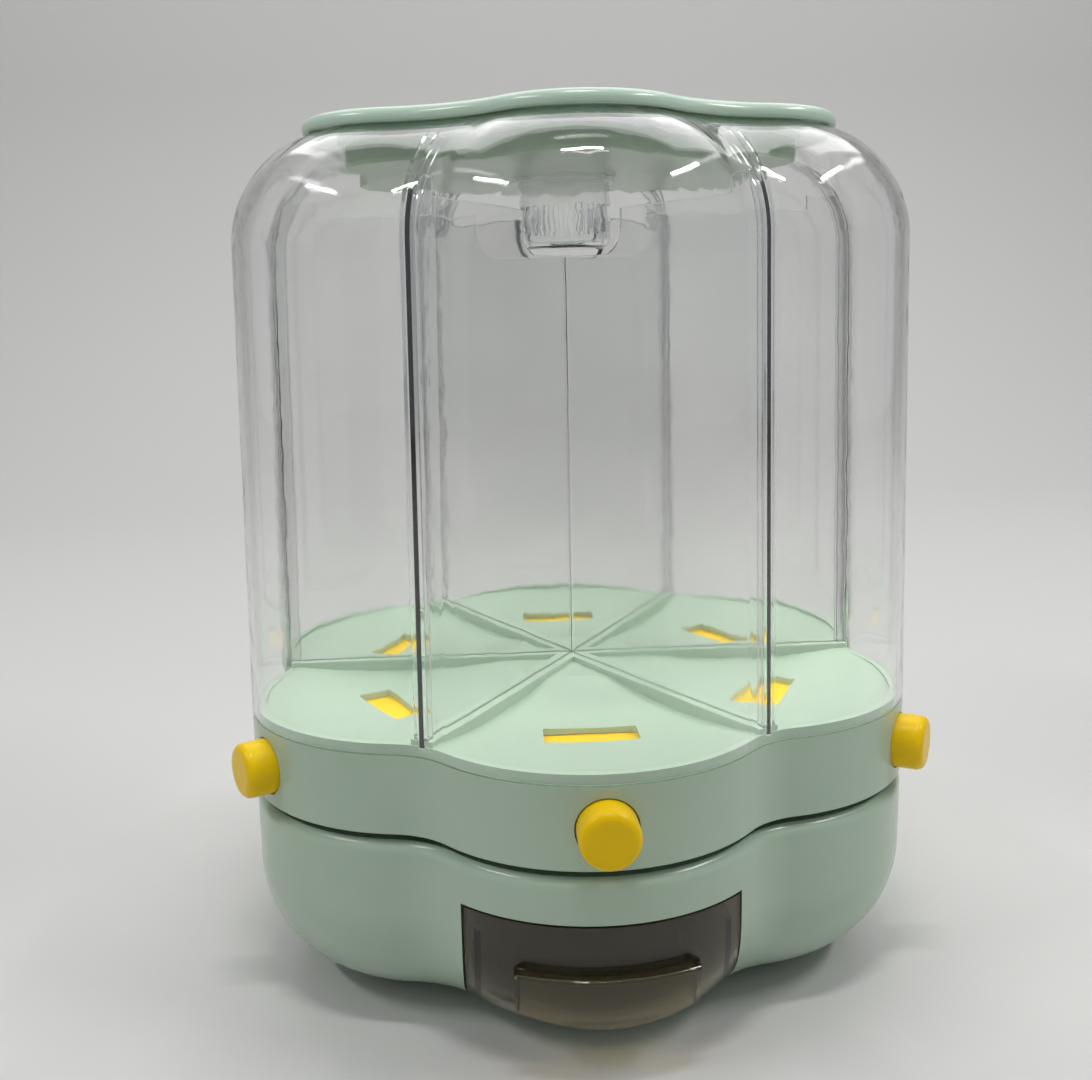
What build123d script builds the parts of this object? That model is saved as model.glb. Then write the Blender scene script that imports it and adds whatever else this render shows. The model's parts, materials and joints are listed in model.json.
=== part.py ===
from build123d import *
import os
from math import cos, radians, sin, tan

# Rotating grain dispenser, in millimetres.
# +Z is up, the drawer faces -Y, and the origin is on the table under the turning axis.

# Plan outline: six round lobes with a rounded valley between each two
lobe_count = 6
lobe_reach = 136.5
valley_depth = 15.5
valley_radius = 30.0
front_angle = -90.0

# Heights of the main pieces, one on another
foot_stand = 1.5
base_height = 71.9
seam_gap = 2.6
band_height = 29.0
container_height = 212.3
lid_rise = 3.5

# Running and assembly clearances
fit_gap = 0.3
slide_gap = 0.3
running_gap = 0.05
screw_gap = 0.1

# How far a cut runs past the face that it opens
overshoot = 1.0

# Base housing
base_wall = 2.8
base_floor = 3.0
bowl_radius = 44.0
base_edge_round = 4.0
opening_side_margin = 19.6
opening_rise = 9.0
opening_drop = 16.1
opening_corner_round = 6.0
opening_run = 56.5
rail_width = 2.0
rail_height = 12.0
rail_shelf = 7.0
rail_setback = 3.0

# Base deck, pivot and ball ring
deck_thickness = 3.0
deck_boss_diameter = 9.0
boss_inset = 21.0
chute_depth = 8.0
pivot_diameter = 22.0
pivot_washer_diameter = 36.0
pivot_washer_thickness = 1.5
pivot_screw_diameter = 4.0
pivot_screw_length = 10.0
pivot_head_diameter = 9.0
pivot_head_height = 3.0
ball_diameter = 8.0
ball_count = 12
ball_ring_inset = 24.0
ball_sink = 0.8
cage_width = 15.0
cage_thickness = 3.0
ball_pocket_gap = 0.3

# Feet
foot_diameter = 16.0
foot_recess = 1.0
foot_inset = 7.0
foot_count = 4

# Screws that hold the deck and the tray's bottom plate
screw_diameter = 3.0
screw_length = 12.0
screw_head_diameter = 5.6
screw_head_height = 1.8

# Shape of a screw's head, as shares of its height or diameter
head_round_share = 0.4
drive_length_share = 0.6
drive_width_share = 0.14
drive_depth_share = 0.35

# Hopper tray
band_wall = 2.8
band_edge_round = 0.8
floor_drop = 3.5
rim_rise = 3.5
ridge_rise = 5.5
ridge_width = 9.0
ridge_inner_end = 4.0
groove_depth = 3.0
funnel_margin = 2.5
funnel_corner_round = 7.0
funnel_dish_radius = 300.0
slot_width = 34.0
slot_length = 14.0
slot_inset = 52.5
slot_drop = 1.5
slot_corner_round = 1.0

# Bottom plate of the tray, and the chute under each slot
plate_rise = 1.0
plate_thickness = 2.6
chute_wall = 2.0
chute_margin = 1.0
chute_flange = 2.0
chute_flange_thickness = 1.6

# Push gates
button_side_gap = 0.75
button_stand = 10.5
button_edge_round = 3.0
button_hole_gap = 0.5
button_ear = 2.2
button_flange_thickness = 2.0
button_flange_back = 4.3
button_back_length = 3.0
press_travel = 10.0
gate_thickness = 3.0
gate_width = 42.0
gate_overlap = 18.0
gate_block_thickness = 5.0
gate_block_width = 20.0
gate_block_share = 0.357
stem_diameter = 9.0
stem_length = 10.0
window_length = 12.0
gate_rail_width = 2.0
spring_diameter = 9.0
spring_wire = 1.0
spring_turns = 6
spring_wire_sides = 6
spring_peg_length = 2.5

# Clear container and its dividers
container_wall = 2.5
container_draft = 1.2
shoulder_radius = 42.0
mouth_inset = 43.0
rib_thickness = 1.5
rib_depth = 4.0
rib_drop = 9.3
vane_thickness = 2.0
vane_drop = 27.3
vane_step = 6.0
vane_step_length = 19.5
post_diameter = 4.0
basket_cut_radius = 37.0
basket_cut_depth = 17.0
basket_cut_round = 10.0

# Lid
lid_overhang = 12.5
lid_skirt = 1.6
lid_wall = 2.2
lid_edge_round = 3.5
lid_lower_round = 0.8
plug_gap = 2.0
plug_wall = 2.2
plug_depth = 12.8
plug_edge_round = 1.5
seal_height = 4.0
seal_drop = 0.3

# Desiccant basket under the lid
basket_diameter = 36.0
basket_wall = 1.6
basket_drop = 41.3
basket_rim_width = 2.0
basket_rim_height = 2.0
basket_edge_round = 4.0
basket_slot_count = 24
basket_slot_width = 2.2
basket_slot_height = 11.0
basket_slot_rise = 6.0

# Drawer
drawer_wall = 2.2
drawer_side_gap = 5.0
drawer_back = 30.0
drawer_rim_drop = 8.3
drawer_front_gap = 0.8
drawer_front_wall = 2.6
drawer_edge_round = 4.0
lip_end_gap = 17.0
lip_stand = 5.0
lip_wall = 2.2
lip_height = 22.0
lip_rise = 7.5
lip_arch_radius = 72.0
lip_round = 1.2

# Sizes that follow from the ones above
lobe_step = 360.0 / lobe_count
half_step = lobe_step / 2
valley_reach = lobe_reach - valley_depth
valley_centre = valley_reach + valley_radius
outer_sum = lobe_reach + valley_radius
lobe_centre = (outer_sum**2 - valley_centre**2) / (2 * (outer_sum - valley_centre * cos(radians(half_step))))
lobe_radius = lobe_reach - lobe_centre

base_bottom = foot_stand
base_top = base_bottom + base_height
base_inside = base_bottom + base_floor
opening_half_width = lobe_radius - opening_side_margin
opening_bottom = base_bottom + opening_rise
opening_top = base_top - opening_drop
opening_depth = lobe_reach - opening_run
rail_front = opening_depth - rail_setback
boss_reach = valley_reach - boss_inset
foot_reach = valley_reach - bowl_radius - foot_inset
slot_reach = lobe_reach - slot_inset
ball_ring_radius = slot_reach - ball_ring_inset
tray_bottom = base_top + seam_gap
tray_rim = tray_bottom + band_height
floor_underside = tray_rim - floor_drop
floor_rim = tray_rim + rim_rise
ridge_top = tray_rim + ridge_rise
step_inset = container_wall + fit_gap
slot_level = tray_rim - slot_drop
plate_bottom = tray_bottom + plate_rise
plate_top = plate_bottom + plate_thickness
deck_top = plate_bottom - ball_diameter + 2 * ball_sink
deck_bottom = deck_top - deck_thickness
ball_height = (deck_top + plate_bottom) / 2
pivot_top = plate_top + fit_gap
gate_top = floor_underside - slide_gap
gate_bottom = gate_top - gate_thickness
gate_inner_reach = slot_reach - gate_overlap
chute_top = gate_bottom - slide_gap
chute_width = slot_width + 2 * chute_margin
chute_length = slot_length + 2 * chute_margin
chute_outer_reach = slot_reach + chute_length / 2 + chute_wall
button_height = (plate_top + floor_underside) / 2
button_diameter = floor_underside - plate_top - 2 * button_side_gap
button_flange_diameter = button_diameter + 2 * button_ear
gate_block_drop = button_diameter * gate_block_share
button_face = lobe_reach + button_stand
flange_reach = lobe_reach - button_flange_back
cap_back = flange_reach - button_flange_thickness - button_back_length
block_outer = cap_back
spring_peg_radius = spring_diameter / 2 - spring_wire - screw_gap
block_inner = block_outer - gate_block_thickness
window_inner = slot_reach + slot_length / 2 + slide_gap
drawer_bottom = opening_bottom + drawer_front_gap
drawer_half_width = opening_half_width - drawer_side_gap
drawer_rim_height = opening_top - drawer_rim_drop
lip_half_width = opening_half_width - lip_end_gap
lip_bottom = opening_bottom + lip_rise
lip_top = lip_bottom + lip_height
rail_top = drawer_bottom - slide_gap
container_rim = tray_rim + container_height
rib_top = container_rim - rib_drop
vane_top = container_rim - vane_drop
lid_bottom = container_rim - lid_skirt
lid_top = container_rim + lid_rise
lid_inside = lid_top - lid_wall
lid_inset = mouth_inset - lid_overhang
plug_inset = mouth_inset + plug_gap
plug_bottom = container_rim - plug_depth
basket_bottom = container_rim - basket_drop


def polar(radius, angle):
    """Point in plan at a radius and an angle in degrees."""
    return Vector(radius * cos(radians(angle)), radius * sin(radians(angle)))


def lobe_angle(index):
    """Direction of a lobe's crown, counted from the front."""
    return front_angle + index * lobe_step


def lobed_face(inset, height):
    """Six-lobed face at a height, drawn in from the outline by an inset."""
    radius = lobe_radius - inset
    edges = []
    for index in range(lobe_count):
        crown = lobe_angle(index)
        centre = polar(lobe_centre, crown)
        next_centre = polar(lobe_centre, crown + lobe_step)
        before = polar(valley_centre, crown - half_step)
        after = polar(valley_centre, crown + half_step)
        start = centre + (before - centre).normalized() * radius
        end = centre + (after - centre).normalized() * radius
        far = next_centre + (after - next_centre).normalized() * radius
        edges.append(Edge.make_three_point_arc(start, centre + polar(radius, crown), end))
        edges.append(Edge.make_three_point_arc(end, polar(valley_reach - inset, crown + half_step), far))
    return Pos(0, 0, height) * Face(Wire(edges))


def lobed_prism(inset, low, high, draft=0.0):
    """Upright six-lobed solid between two heights, narrowing upwards by a draft angle."""
    return extrude(lobed_face(inset, low), amount=high - low, dir=(0, 0, 1), taper=draft)


def edges_at(solid, height):
    """Edges that lie wholly at one height."""
    return solid.edges().filter_by_position(Axis.Z, height - 1e-3, height + 1e-3)


def block(x_low, x_high, y_low, y_high, z_low, z_high):
    """Box between six planes."""
    size = (x_high - x_low, y_high - y_low, z_high - z_low)
    middle = ((x_low + x_high) / 2, (y_low + y_high) / 2, (z_low + z_high) / 2)
    return Pos(*middle) * Box(*size)


def post(radius, low, high, place=(0, 0)):
    """Upright cylinder between two heights."""
    return Pos(place[0], place[1], (low + high) / 2) * Cylinder(radius, high - low)


def ring(outer, inner, low, high):
    """Upright ring between two heights."""
    return post(outer, low, high) - post(inner, low - overshoot, high + overshoot)


def at_lobe(index, solid):
    """Solid made along +X, turned to point along a lobe."""
    return Rot(0, 0, lobe_angle(index)) * solid


def at_valley(index, solid):
    """Solid made along +X, turned to point along a valley."""
    return Rot(0, 0, lobe_angle(index) + half_step) * solid


def all_lobes(solid):
    """One copy of a solid made along +X at every lobe."""
    return [at_lobe(index, solid) for index in range(lobe_count)]


def all_valleys(solid):
    """One copy of a solid made along +X at every valley."""
    return [at_valley(index, solid) for index in range(lobe_count)]


def rod(radius, inner, outer, height):
    """Cylinder lying along +X at a height."""
    return Pos((inner + outer) / 2, 0, height) * Rot(0, 90, 0) * Cylinder(radius, outer - inner)


def screw(diameter, length, head_diameter, head_height):
    """Pan head screw, its seat at the origin and its shank pointing down."""
    head = post(head_diameter / 2, 0, head_height)
    head = fillet(edges_at(head, head_height), head_height * head_round_share)
    drive_size = (head_diameter * drive_length_share, head_diameter * drive_width_share)
    drive = Pos(0, 0, head_height) * Box(*drive_size, 2 * head_height * drive_depth_share)
    return head + post(diameter / 2, -length, 0) - drive - Rot(0, 0, 90) * drive


def screw_hole(low, high):
    """Hole for one of the screws in the valleys, along +X."""
    return post(screw_diameter / 2 + screw_gap, low, high, (boss_reach, 0))


def rounded_slab(x_size, y_size, corner, low, high):
    """Upright slab with round corners, centred on the axis."""
    return extrude(Pos(0, 0, low) * RectangleRounded(x_size, y_size, corner), amount=high - low)


def chute_slab(margin, low, high):
    """Upright slab under a slot along +X, larger than the chute's bore by a margin."""
    corner = chute_wall / 2 + margin / 2
    return Pos(slot_reach, 0, 0) * rounded_slab(chute_length + 2 * margin, chute_width + 2 * margin, corner,
                                                low, high)


def bowl_solid(inset):
    """Round-bottomed body of the base, drawn in by an inset all over."""
    solid = lobed_prism(inset, base_bottom + inset, base_top)
    return fillet(edges_at(solid, base_bottom + inset), bowl_radius - inset)


def opening_block(gap, corner):
    """Block through the front of the base, round at its lower corners, smaller all round by a gap."""
    half = opening_half_width - gap
    solid = block(-half, half, -lobe_reach - overshoot, -opening_depth,
                  opening_bottom + gap, opening_top - gap)
    along = solid.edges().filter_by(Axis.Y).sort_by(Axis.Z)[:2]
    return fillet(along, corner)


def foot_places():
    """Turn of each foot about the axis."""
    return [Rot(0, 0, 360 / foot_count * (index + 0.5)) for index in range(foot_count)]


def make_base_housing():
    """Bowl-shaped base with the drawer's opening, rails and deck bosses."""
    outer = bowl_solid(0)
    outer = fillet(edges_at(outer, base_top), base_edge_round)
    cavity = lobed_prism(base_wall, base_inside, base_top + overshoot)
    cavity = fillet(edges_at(cavity, base_inside), bowl_radius - base_floor)
    housing = outer - cavity
    housing -= opening_block(0, opening_corner_round)
    boss = post(deck_boss_diameter / 2, base_bottom, deck_bottom, (boss_reach, 0))
    hole = screw_hole(deck_bottom - screw_length, deck_bottom + overshoot)
    guide_inner = drawer_half_width + slide_gap
    guide_outer = guide_inner + rail_width
    stop_front = drawer_back + slide_gap
    stop_back = stop_front + rail_width
    guide_top = rail_top + rail_height
    guide = block(guide_inner, guide_outer, -rail_front, stop_back, base_bottom, guide_top)
    shelf = block(guide_inner - rail_shelf, guide_inner, -rail_front, stop_back, base_bottom, rail_top)
    stop = block(-guide_outer, guide_outer, stop_front, stop_back, base_bottom, guide_top)
    rail = guide + shelf
    added = [rail, mirror(rail, Plane.YZ), stop] + all_valleys(boss)
    housing += [piece & outer for piece in added]
    housing -= all_valleys(hole)
    recess = post(foot_diameter / 2 + fit_gap, base_bottom - overshoot, base_bottom + foot_recess,
                  (foot_reach, 0))
    housing -= [place * recess for place in foot_places()]
    return housing


def make_base_deck():
    """Deck that closes the base, with the pivot, the lower ball race and a window for the chute."""
    deck = lobed_prism(base_wall + fit_gap, deck_bottom, deck_top)
    deck += post(pivot_diameter / 2, deck_bottom, pivot_top)
    deck -= at_lobe(0, chute_slab(chute_wall + screw_gap, deck_bottom - overshoot, deck_top + overshoot))
    deck -= post(pivot_screw_diameter / 2 + screw_gap, pivot_top - pivot_screw_length - overshoot,
                 pivot_top + overshoot)
    deck -= Pos(0, 0, ball_height) * Torus(ball_ring_radius, ball_diameter / 2 + running_gap)
    deck -= all_valleys(screw_hole(deck_bottom - overshoot, deck_top + overshoot))
    return deck


def make_deck_chute():
    """Chute from the deck down to the drawer along +X, with a flange under the deck."""
    low = deck_bottom - chute_depth
    chute = chute_slab(chute_wall, low, deck_top)
    chute += chute_slab(chute_wall + chute_flange, deck_bottom - chute_flange_thickness, deck_bottom)
    return chute - chute_slab(0, low - overshoot, deck_top + overshoot)


def ball_places():
    """Turn of each ball about the axis."""
    return [Rot(0, 0, 360 / ball_count * index) for index in range(ball_count)]


def make_ball_cage():
    """Flat ring that keeps the balls apart."""
    cage = ring(ball_ring_radius + cage_width / 2, ball_ring_radius - cage_width / 2,
                ball_height - cage_thickness / 2, ball_height + cage_thickness / 2)
    pocket = post(ball_diameter / 2 + ball_pocket_gap, deck_top, plate_bottom, (ball_ring_radius, 0))
    return cage - [place * pocket for place in ball_places()]


def make_balls():
    """Loose balls of the turntable."""
    ball = Pos(ball_ring_radius, 0, ball_height) * Sphere(ball_diameter / 2)
    return Compound(children=[place * ball for place in ball_places()])


def make_feet():
    """Rubber pads let into the underside of the base."""
    pad = post(foot_diameter / 2, 0, base_bottom + foot_recess, (foot_reach, 0))
    pad = fillet(edges_at(pad, 0), foot_stand / 2)
    return Compound(children=[place * pad for place in foot_places()])


def make_screws(seat, flip):
    """Six screws in the valleys, their heads on one seat."""
    one = screw(screw_diameter, screw_length, screw_head_diameter, screw_head_height)
    turn = Rot(180, 0, 0) if flip else Rot(0, 0, 0)
    return Compound(children=all_valleys(Pos(boss_reach, 0, seat) * turn * one))


def make_pivot_washer():
    """Washer that keeps the turning part on the pivot."""
    return ring(pivot_washer_diameter / 2, pivot_screw_diameter / 2 + screw_gap, pivot_top,
                pivot_top + pivot_washer_thickness)


def make_pivot_screw():
    """Screw down through the washer into the pivot."""
    body = screw(pivot_screw_diameter, pivot_screw_length, pivot_head_diameter, pivot_head_height)
    return Pos(0, 0, pivot_top + pivot_washer_thickness) * body


def funnel_cut():
    """One dished hopper floor along +X, bounded by the ridges beside it."""
    outline = lobed_face(step_inset + funnel_margin, 0)
    far = 2 * lobe_reach
    side = ridge_width / 2
    apex = side / sin(radians(half_step))
    spread = (far - apex) * tan(radians(half_step))
    wedge = make_face(Polyline((apex, 0), (far, -spread), (far, spread), close=True))
    plan = Rot(0, 0, -front_angle) * outline & wedge
    plan = fillet(plan.vertices(), funnel_corner_round)
    prism = extrude(Pos(0, 0, slot_level) * plan, amount=ridge_top + overshoot - slot_level)
    dish = Pos(slot_reach, 0, slot_level + funnel_dish_radius) * Sphere(funnel_dish_radius)
    return prism & dish


def make_hopper_tray():
    """Turning tray: outer band, six funnel floors, divider ridges and gate rails."""
    tray = lobed_prism(0, tray_bottom, tray_rim)
    tray = fillet(edges_at(tray, tray_bottom), band_edge_round)
    tray += lobed_prism(step_inset, tray_rim, floor_rim)
    tray -= lobed_prism(band_wall, tray_bottom - overshoot, floor_underside)
    ridge_end = valley_reach - step_inset - fit_gap
    tray += all_valleys(block(ridge_inner_end, ridge_end, -ridge_width / 2, ridge_width / 2,
                              tray_rim, ridge_top))
    tray += post(ridge_width, tray_rim, ridge_top)
    tray -= all_lobes(funnel_cut())
    slot = Pos(slot_reach, 0, 0) * rounded_slab(slot_length, slot_width, slot_corner_round,
                                                floor_underside - overshoot, ridge_top)
    tray -= all_lobes(slot)
    groove_half = vane_thickness / 2 + fit_gap
    groove_low = ridge_top - groove_depth
    groove_high = ridge_top + overshoot
    tray -= all_valleys(block(0, ridge_end + overshoot, -groove_half, groove_half, groove_low, groove_high))
    tray -= post(post_diameter / 2 + fit_gap, groove_low, groove_high)
    rail_inner = gate_width / 2 + slide_gap
    rail = block(gate_inner_reach - press_travel, block_outer, rail_inner, rail_inner + gate_rail_width,
                 gate_bottom, floor_underside + overshoot)
    tray += all_lobes(rail)
    tray += all_lobes(mirror(rail, Plane.XZ))
    boss = post(deck_boss_diameter / 2, plate_top, floor_underside + overshoot, (boss_reach, 0))
    tray += all_valleys(boss)
    tray -= all_valleys(screw_hole(plate_top - overshoot, plate_bottom + screw_length + overshoot))
    tray -= all_lobes(rod(button_diameter / 2 + button_hole_gap, flange_reach, lobe_reach + overshoot,
                          button_height))
    return tray


def make_tray_bottom_plate():
    """Plate that closes the tray, with the hub's hole, the upper ball race and a window for each chute."""
    plate = lobed_prism(band_wall + fit_gap, plate_bottom, plate_top)
    plate -= all_lobes(chute_slab(chute_wall + screw_gap, plate_bottom - overshoot, plate_top + overshoot))
    plate -= post(pivot_diameter / 2 + fit_gap, plate_bottom - overshoot, plate_top + overshoot)
    plate -= Pos(0, 0, ball_height) * Torus(ball_ring_radius, ball_diameter / 2 + running_gap)
    plate -= all_valleys(screw_hole(plate_bottom - overshoot, plate_top + overshoot))
    return plate


def make_outlet_chute():
    """Chute under a slot along +X: a tube with a flange on the plate and a peg for the spring."""
    chute = chute_slab(chute_wall, plate_bottom, chute_top)
    chute += chute_slab(chute_wall + chute_flange, plate_top, plate_top + chute_flange_thickness)
    chute += rod(spring_peg_radius, chute_outer_reach - overshoot, chute_outer_reach + spring_peg_length,
                 button_height)
    return chute - chute_slab(0, plate_bottom - overshoot, chute_top + overshoot)


def make_button_cap():
    """Round push button along +X, with an ear each side behind the band and a bore for the stem."""
    cap = rod(button_diameter / 2, cap_back, button_face, button_height)
    face = cap.faces().sort_by(Axis.X)[-1]
    cap = fillet(face.edges(), button_edge_round)
    flange = rod(button_flange_diameter / 2, flange_reach - button_flange_thickness, flange_reach,
                 button_height)
    cap += flange & block(0, lobe_reach, -button_flange_diameter, button_flange_diameter,
                          button_height - button_diameter / 2, button_height + button_diameter / 2)
    return cap - rod(stem_diameter / 2 + screw_gap, cap_back - overshoot, cap_back + stem_length + fit_gap,
                     button_height)


def make_gate_slide():
    """Sliding gate along +X: plate with a window, end block and stem."""
    plate = block(gate_inner_reach, block_outer, -gate_width / 2, gate_width / 2, gate_bottom, gate_top)
    plate = fillet(plate.edges().filter_by(Axis.Z), gate_thickness)
    plate -= Pos(window_inner + window_length / 2, 0, 0) * rounded_slab(
        window_length, slot_width, slot_corner_round, gate_bottom - overshoot, gate_top + overshoot)
    plate += block(block_inner, block_outer, -gate_block_width / 2, gate_block_width / 2,
                   button_height - gate_block_drop, gate_top)
    plate += rod(stem_diameter / 2, block_outer - overshoot, block_outer + stem_length, button_height)
    return plate + rod(spring_peg_radius, block_inner - spring_peg_length, block_inner + overshoot,
                       button_height)


def make_return_spring():
    """Coiled return spring along +X, between the chute and the gate's end block."""
    length = block_inner - chute_outer_reach
    radius = (spring_diameter - spring_wire) / 2
    rise = length - spring_wire
    line = Helix(rise / spring_turns, rise, radius)
    start = Plane(line @ 0, z_dir=line % 0)
    coil = sweep(start * RegularPolygon(spring_wire / 2, spring_wire_sides), path=line)
    return Pos(chute_outer_reach + spring_wire / 2, 0, button_height) * Rot(0, 90, 0) * coil


def container_solid(inset, low):
    """Container's body, drawn in by an inset, with its draft and round shoulder."""
    crown_top = container_rim - inset
    lead = inset + (low - tray_rim) * tan(radians(container_draft))
    solid = lobed_prism(lead, low, crown_top, container_draft)
    return fillet(edges_at(solid, crown_top), shoulder_radius - inset)


def make_container_shell():
    """Clear container, open below and at the mouth, with a pair of guide ribs in each valley."""
    shell = container_solid(0, tray_rim) - container_solid(container_wall, tray_rim - overshoot)
    shell -= lobed_prism(mouth_inset, container_rim - shoulder_radius, container_rim + overshoot)
    low = ridge_top + fit_gap
    zone = container_solid(container_wall / 2, low)
    zone -= container_solid(container_wall + rib_depth, low - overshoot)
    rib = block(0, valley_reach, -rib_thickness / 2, rib_thickness / 2, low, rib_top)
    rib_place = vane_thickness / 2 + fit_gap + rib_thickness / 2
    for side in (-rib_place, rib_place):
        shell += [piece & zone for piece in all_valleys(Pos(0, side, 0) * rib)]
    return shell


def make_divider_star():
    """Six clear vanes on a slim post, cut out at the top for the basket."""
    low = ridge_top - groove_depth + fit_gap
    edge_inset = container_wall + fit_gap
    envelope = container_solid(edge_inset, low)
    outer = valley_reach
    step_reach = valley_reach - mouth_inset + vane_step_length
    cut_low = vane_top - basket_cut_depth
    panel = make_face(Polyline(
        (0, low), (outer, low), (outer, vane_top + vane_step), (step_reach, vane_top + vane_step),
        (step_reach, vane_top), (basket_cut_radius, vane_top), (basket_cut_radius, cut_low), (0, cut_low),
        close=True))
    corner = panel.vertices().sort_by_distance((basket_cut_radius, cut_low, 0))[0]
    panel = fillet(corner, basket_cut_round)
    vane = extrude(Plane.XZ * panel, amount=vane_thickness / 2, both=True)
    star = post(post_diameter / 2, low, cut_low)
    star += all_valleys(vane)
    return star & envelope


def make_lid_cover():
    """Six-lobed lid with a rounded edge, hollow below."""
    cover = lobed_prism(lid_inset, lid_bottom, lid_top)
    cover = fillet(edges_at(cover, lid_top), lid_edge_round)
    cover = fillet(edges_at(cover, lid_bottom), lid_lower_round)
    return cover - lobed_prism(lid_inset + lid_wall, lid_bottom - overshoot, lid_inside)


def make_lid_liner():
    """Closed plug under the lid that enters the mouth."""
    liner = lobed_prism(plug_inset, plug_bottom, lid_inside)
    liner = fillet(edges_at(liner, plug_bottom), plug_edge_round)
    return liner - lobed_prism(plug_inset + plug_wall, plug_bottom + plug_wall, lid_inside + overshoot)


def make_lid_seal():
    """Soft ring round the plug, just inside the mouth."""
    high = container_rim - seal_drop
    return lobed_prism(mouth_inset + fit_gap, high - seal_height, high) - lobed_prism(
        plug_inset, high - seal_height - overshoot, high + overshoot)


def make_desiccant_basket():
    """Slotted cup with a rim, held under the lid's plug."""
    radius = basket_diameter / 2
    cup = post(radius, basket_bottom, plug_bottom)
    cup = fillet(edges_at(cup, basket_bottom), basket_edge_round)
    hollow = post(radius - basket_wall, basket_bottom + basket_wall, plug_bottom + overshoot)
    hollow = fillet(edges_at(hollow, basket_bottom + basket_wall), basket_edge_round - basket_wall)
    low = basket_bottom + basket_slot_rise
    slot = block(radius - 3 * basket_wall, radius + overshoot, -basket_slot_width / 2, basket_slot_width / 2,
                 low, low + basket_slot_height)
    cup += post(radius + basket_rim_width, plug_bottom - basket_rim_height, plug_bottom)
    cup -= hollow
    return cup - [Rot(0, 0, 360 / basket_slot_count * index) * slot for index in range(basket_slot_count)]


def make_drawer():
    """Drawer: open box behind a front that follows the base, with a pull lip."""
    outer = bowl_solid(0)
    inner = bowl_solid(drawer_front_wall)
    front_y = -lobe_reach - overshoot
    body = block(-drawer_half_width, drawer_half_width, front_y, drawer_back,
                 drawer_bottom, drawer_rim_height)
    inside = drawer_half_width - drawer_wall
    space = block(-inside, inside, front_y, drawer_back - drawer_wall, drawer_bottom + drawer_wall, base_top)
    upright = [edge for edge in space.edges().filter_by(Axis.Z) if edge.center().Y > 0]
    space = fillet(upright, drawer_edge_round)
    drawer = (body & outer) - (space & inner)
    panel = opening_block(drawer_front_gap, opening_corner_round - drawer_front_gap)
    drawer += (panel & outer) - inner
    lip_front = front_y - lip_stand
    lip = bowl_solid(-lip_stand) & block(-lip_half_width, lip_half_width, lip_front, -opening_depth,
                                         lip_bottom, lip_top)
    lip = fillet(edges_at(lip, lip_top).sort_by(Axis.Y)[0], lip_round)
    lip &= Pos(0, 0, lip_bottom + lip_arch_radius) * Rot(90, 0, 0) * Cylinder(lip_arch_radius, 4 * lobe_reach)
    lip_inside = lip_half_width - lip_wall
    lip -= bowl_solid(lip_wall - lip_stand) & block(-lip_inside, lip_inside, lip_front, -opening_depth,
                                                    base_bottom, lip_top - lip_wall)
    drawer += lip - outer
    return drawer


def save(name, solid):
    """Write one named piece as a STEP file."""
    solid.label = name
    export_step(solid, os.path.join("parts", name + ".step"))


def main():
    """Build every piece and write it to the parts folder."""
    os.makedirs("parts", exist_ok=True)
    save("base_housing", make_base_housing())
    save("base_deck", make_base_deck())
    save("deck_chute", at_lobe(0, make_deck_chute()))
    save("ball_cage", make_ball_cage())
    save("bearing_balls", make_balls())
    save("foot_pads", make_feet())
    save("deck_screws", make_screws(deck_top, False))
    save("pivot_washer", make_pivot_washer())
    save("pivot_screw", make_pivot_screw())
    save("drawer", make_drawer())
    save("hopper_tray", make_hopper_tray())
    save("tray_bottom_plate", make_tray_bottom_plate())
    save("tray_screws", make_screws(plate_bottom, True))
    button_cap = make_button_cap()
    gate_slide = make_gate_slide()
    return_spring = make_return_spring()
    outlet_chute = make_outlet_chute()
    for index in range(lobe_count):
        save(f"button_cap_{index + 1}", at_lobe(index, button_cap))
        save(f"gate_slide_{index + 1}", at_lobe(index, gate_slide))
        save(f"return_spring_{index + 1}", at_lobe(index, return_spring))
        save(f"outlet_chute_{index + 1}", at_lobe(index, outlet_chute))
    save("container_shell", make_container_shell())
    save("divider_star", make_divider_star())
    save("lid_cover", make_lid_cover())
    save("lid_liner", make_lid_liner())
    save("lid_seal", make_lid_seal())
    save("desiccant_basket", make_desiccant_basket())


main()
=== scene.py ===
"""Looks of a rotating grain dispenser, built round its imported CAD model.

Sizes are metres in the CAD frame: +Z is up, the drawer faces -Y and the table is at Z 0.
"""

import json
import logging
import math
from dataclasses import dataclass
from enum import Enum
from typing import ClassVar

import bmesh
import bpy
from mathutils import Matrix, Vector


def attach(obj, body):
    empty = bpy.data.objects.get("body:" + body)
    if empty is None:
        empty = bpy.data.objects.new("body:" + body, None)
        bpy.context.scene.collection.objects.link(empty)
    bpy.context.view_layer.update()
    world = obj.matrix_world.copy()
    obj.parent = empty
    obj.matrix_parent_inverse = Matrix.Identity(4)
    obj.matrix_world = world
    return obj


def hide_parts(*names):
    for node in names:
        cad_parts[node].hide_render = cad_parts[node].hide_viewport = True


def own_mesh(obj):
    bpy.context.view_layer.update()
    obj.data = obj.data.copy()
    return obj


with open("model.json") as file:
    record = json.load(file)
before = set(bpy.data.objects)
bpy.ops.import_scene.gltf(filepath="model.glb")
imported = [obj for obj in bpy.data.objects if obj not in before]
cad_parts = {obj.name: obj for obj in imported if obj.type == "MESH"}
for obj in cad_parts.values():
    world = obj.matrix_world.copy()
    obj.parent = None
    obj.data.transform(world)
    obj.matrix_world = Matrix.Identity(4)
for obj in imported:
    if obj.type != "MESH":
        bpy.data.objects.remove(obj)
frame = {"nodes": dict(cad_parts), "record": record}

LOG = logging.getLogger("grain_dispenser")
MERGE_DISTANCE = 1e-6
SMOOTH_ANGLE = math.radians(35.0)
Colour = tuple[float, float, float]
Point = tuple[float, float, float]
Socket = bpy.types.NodeSocket


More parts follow.
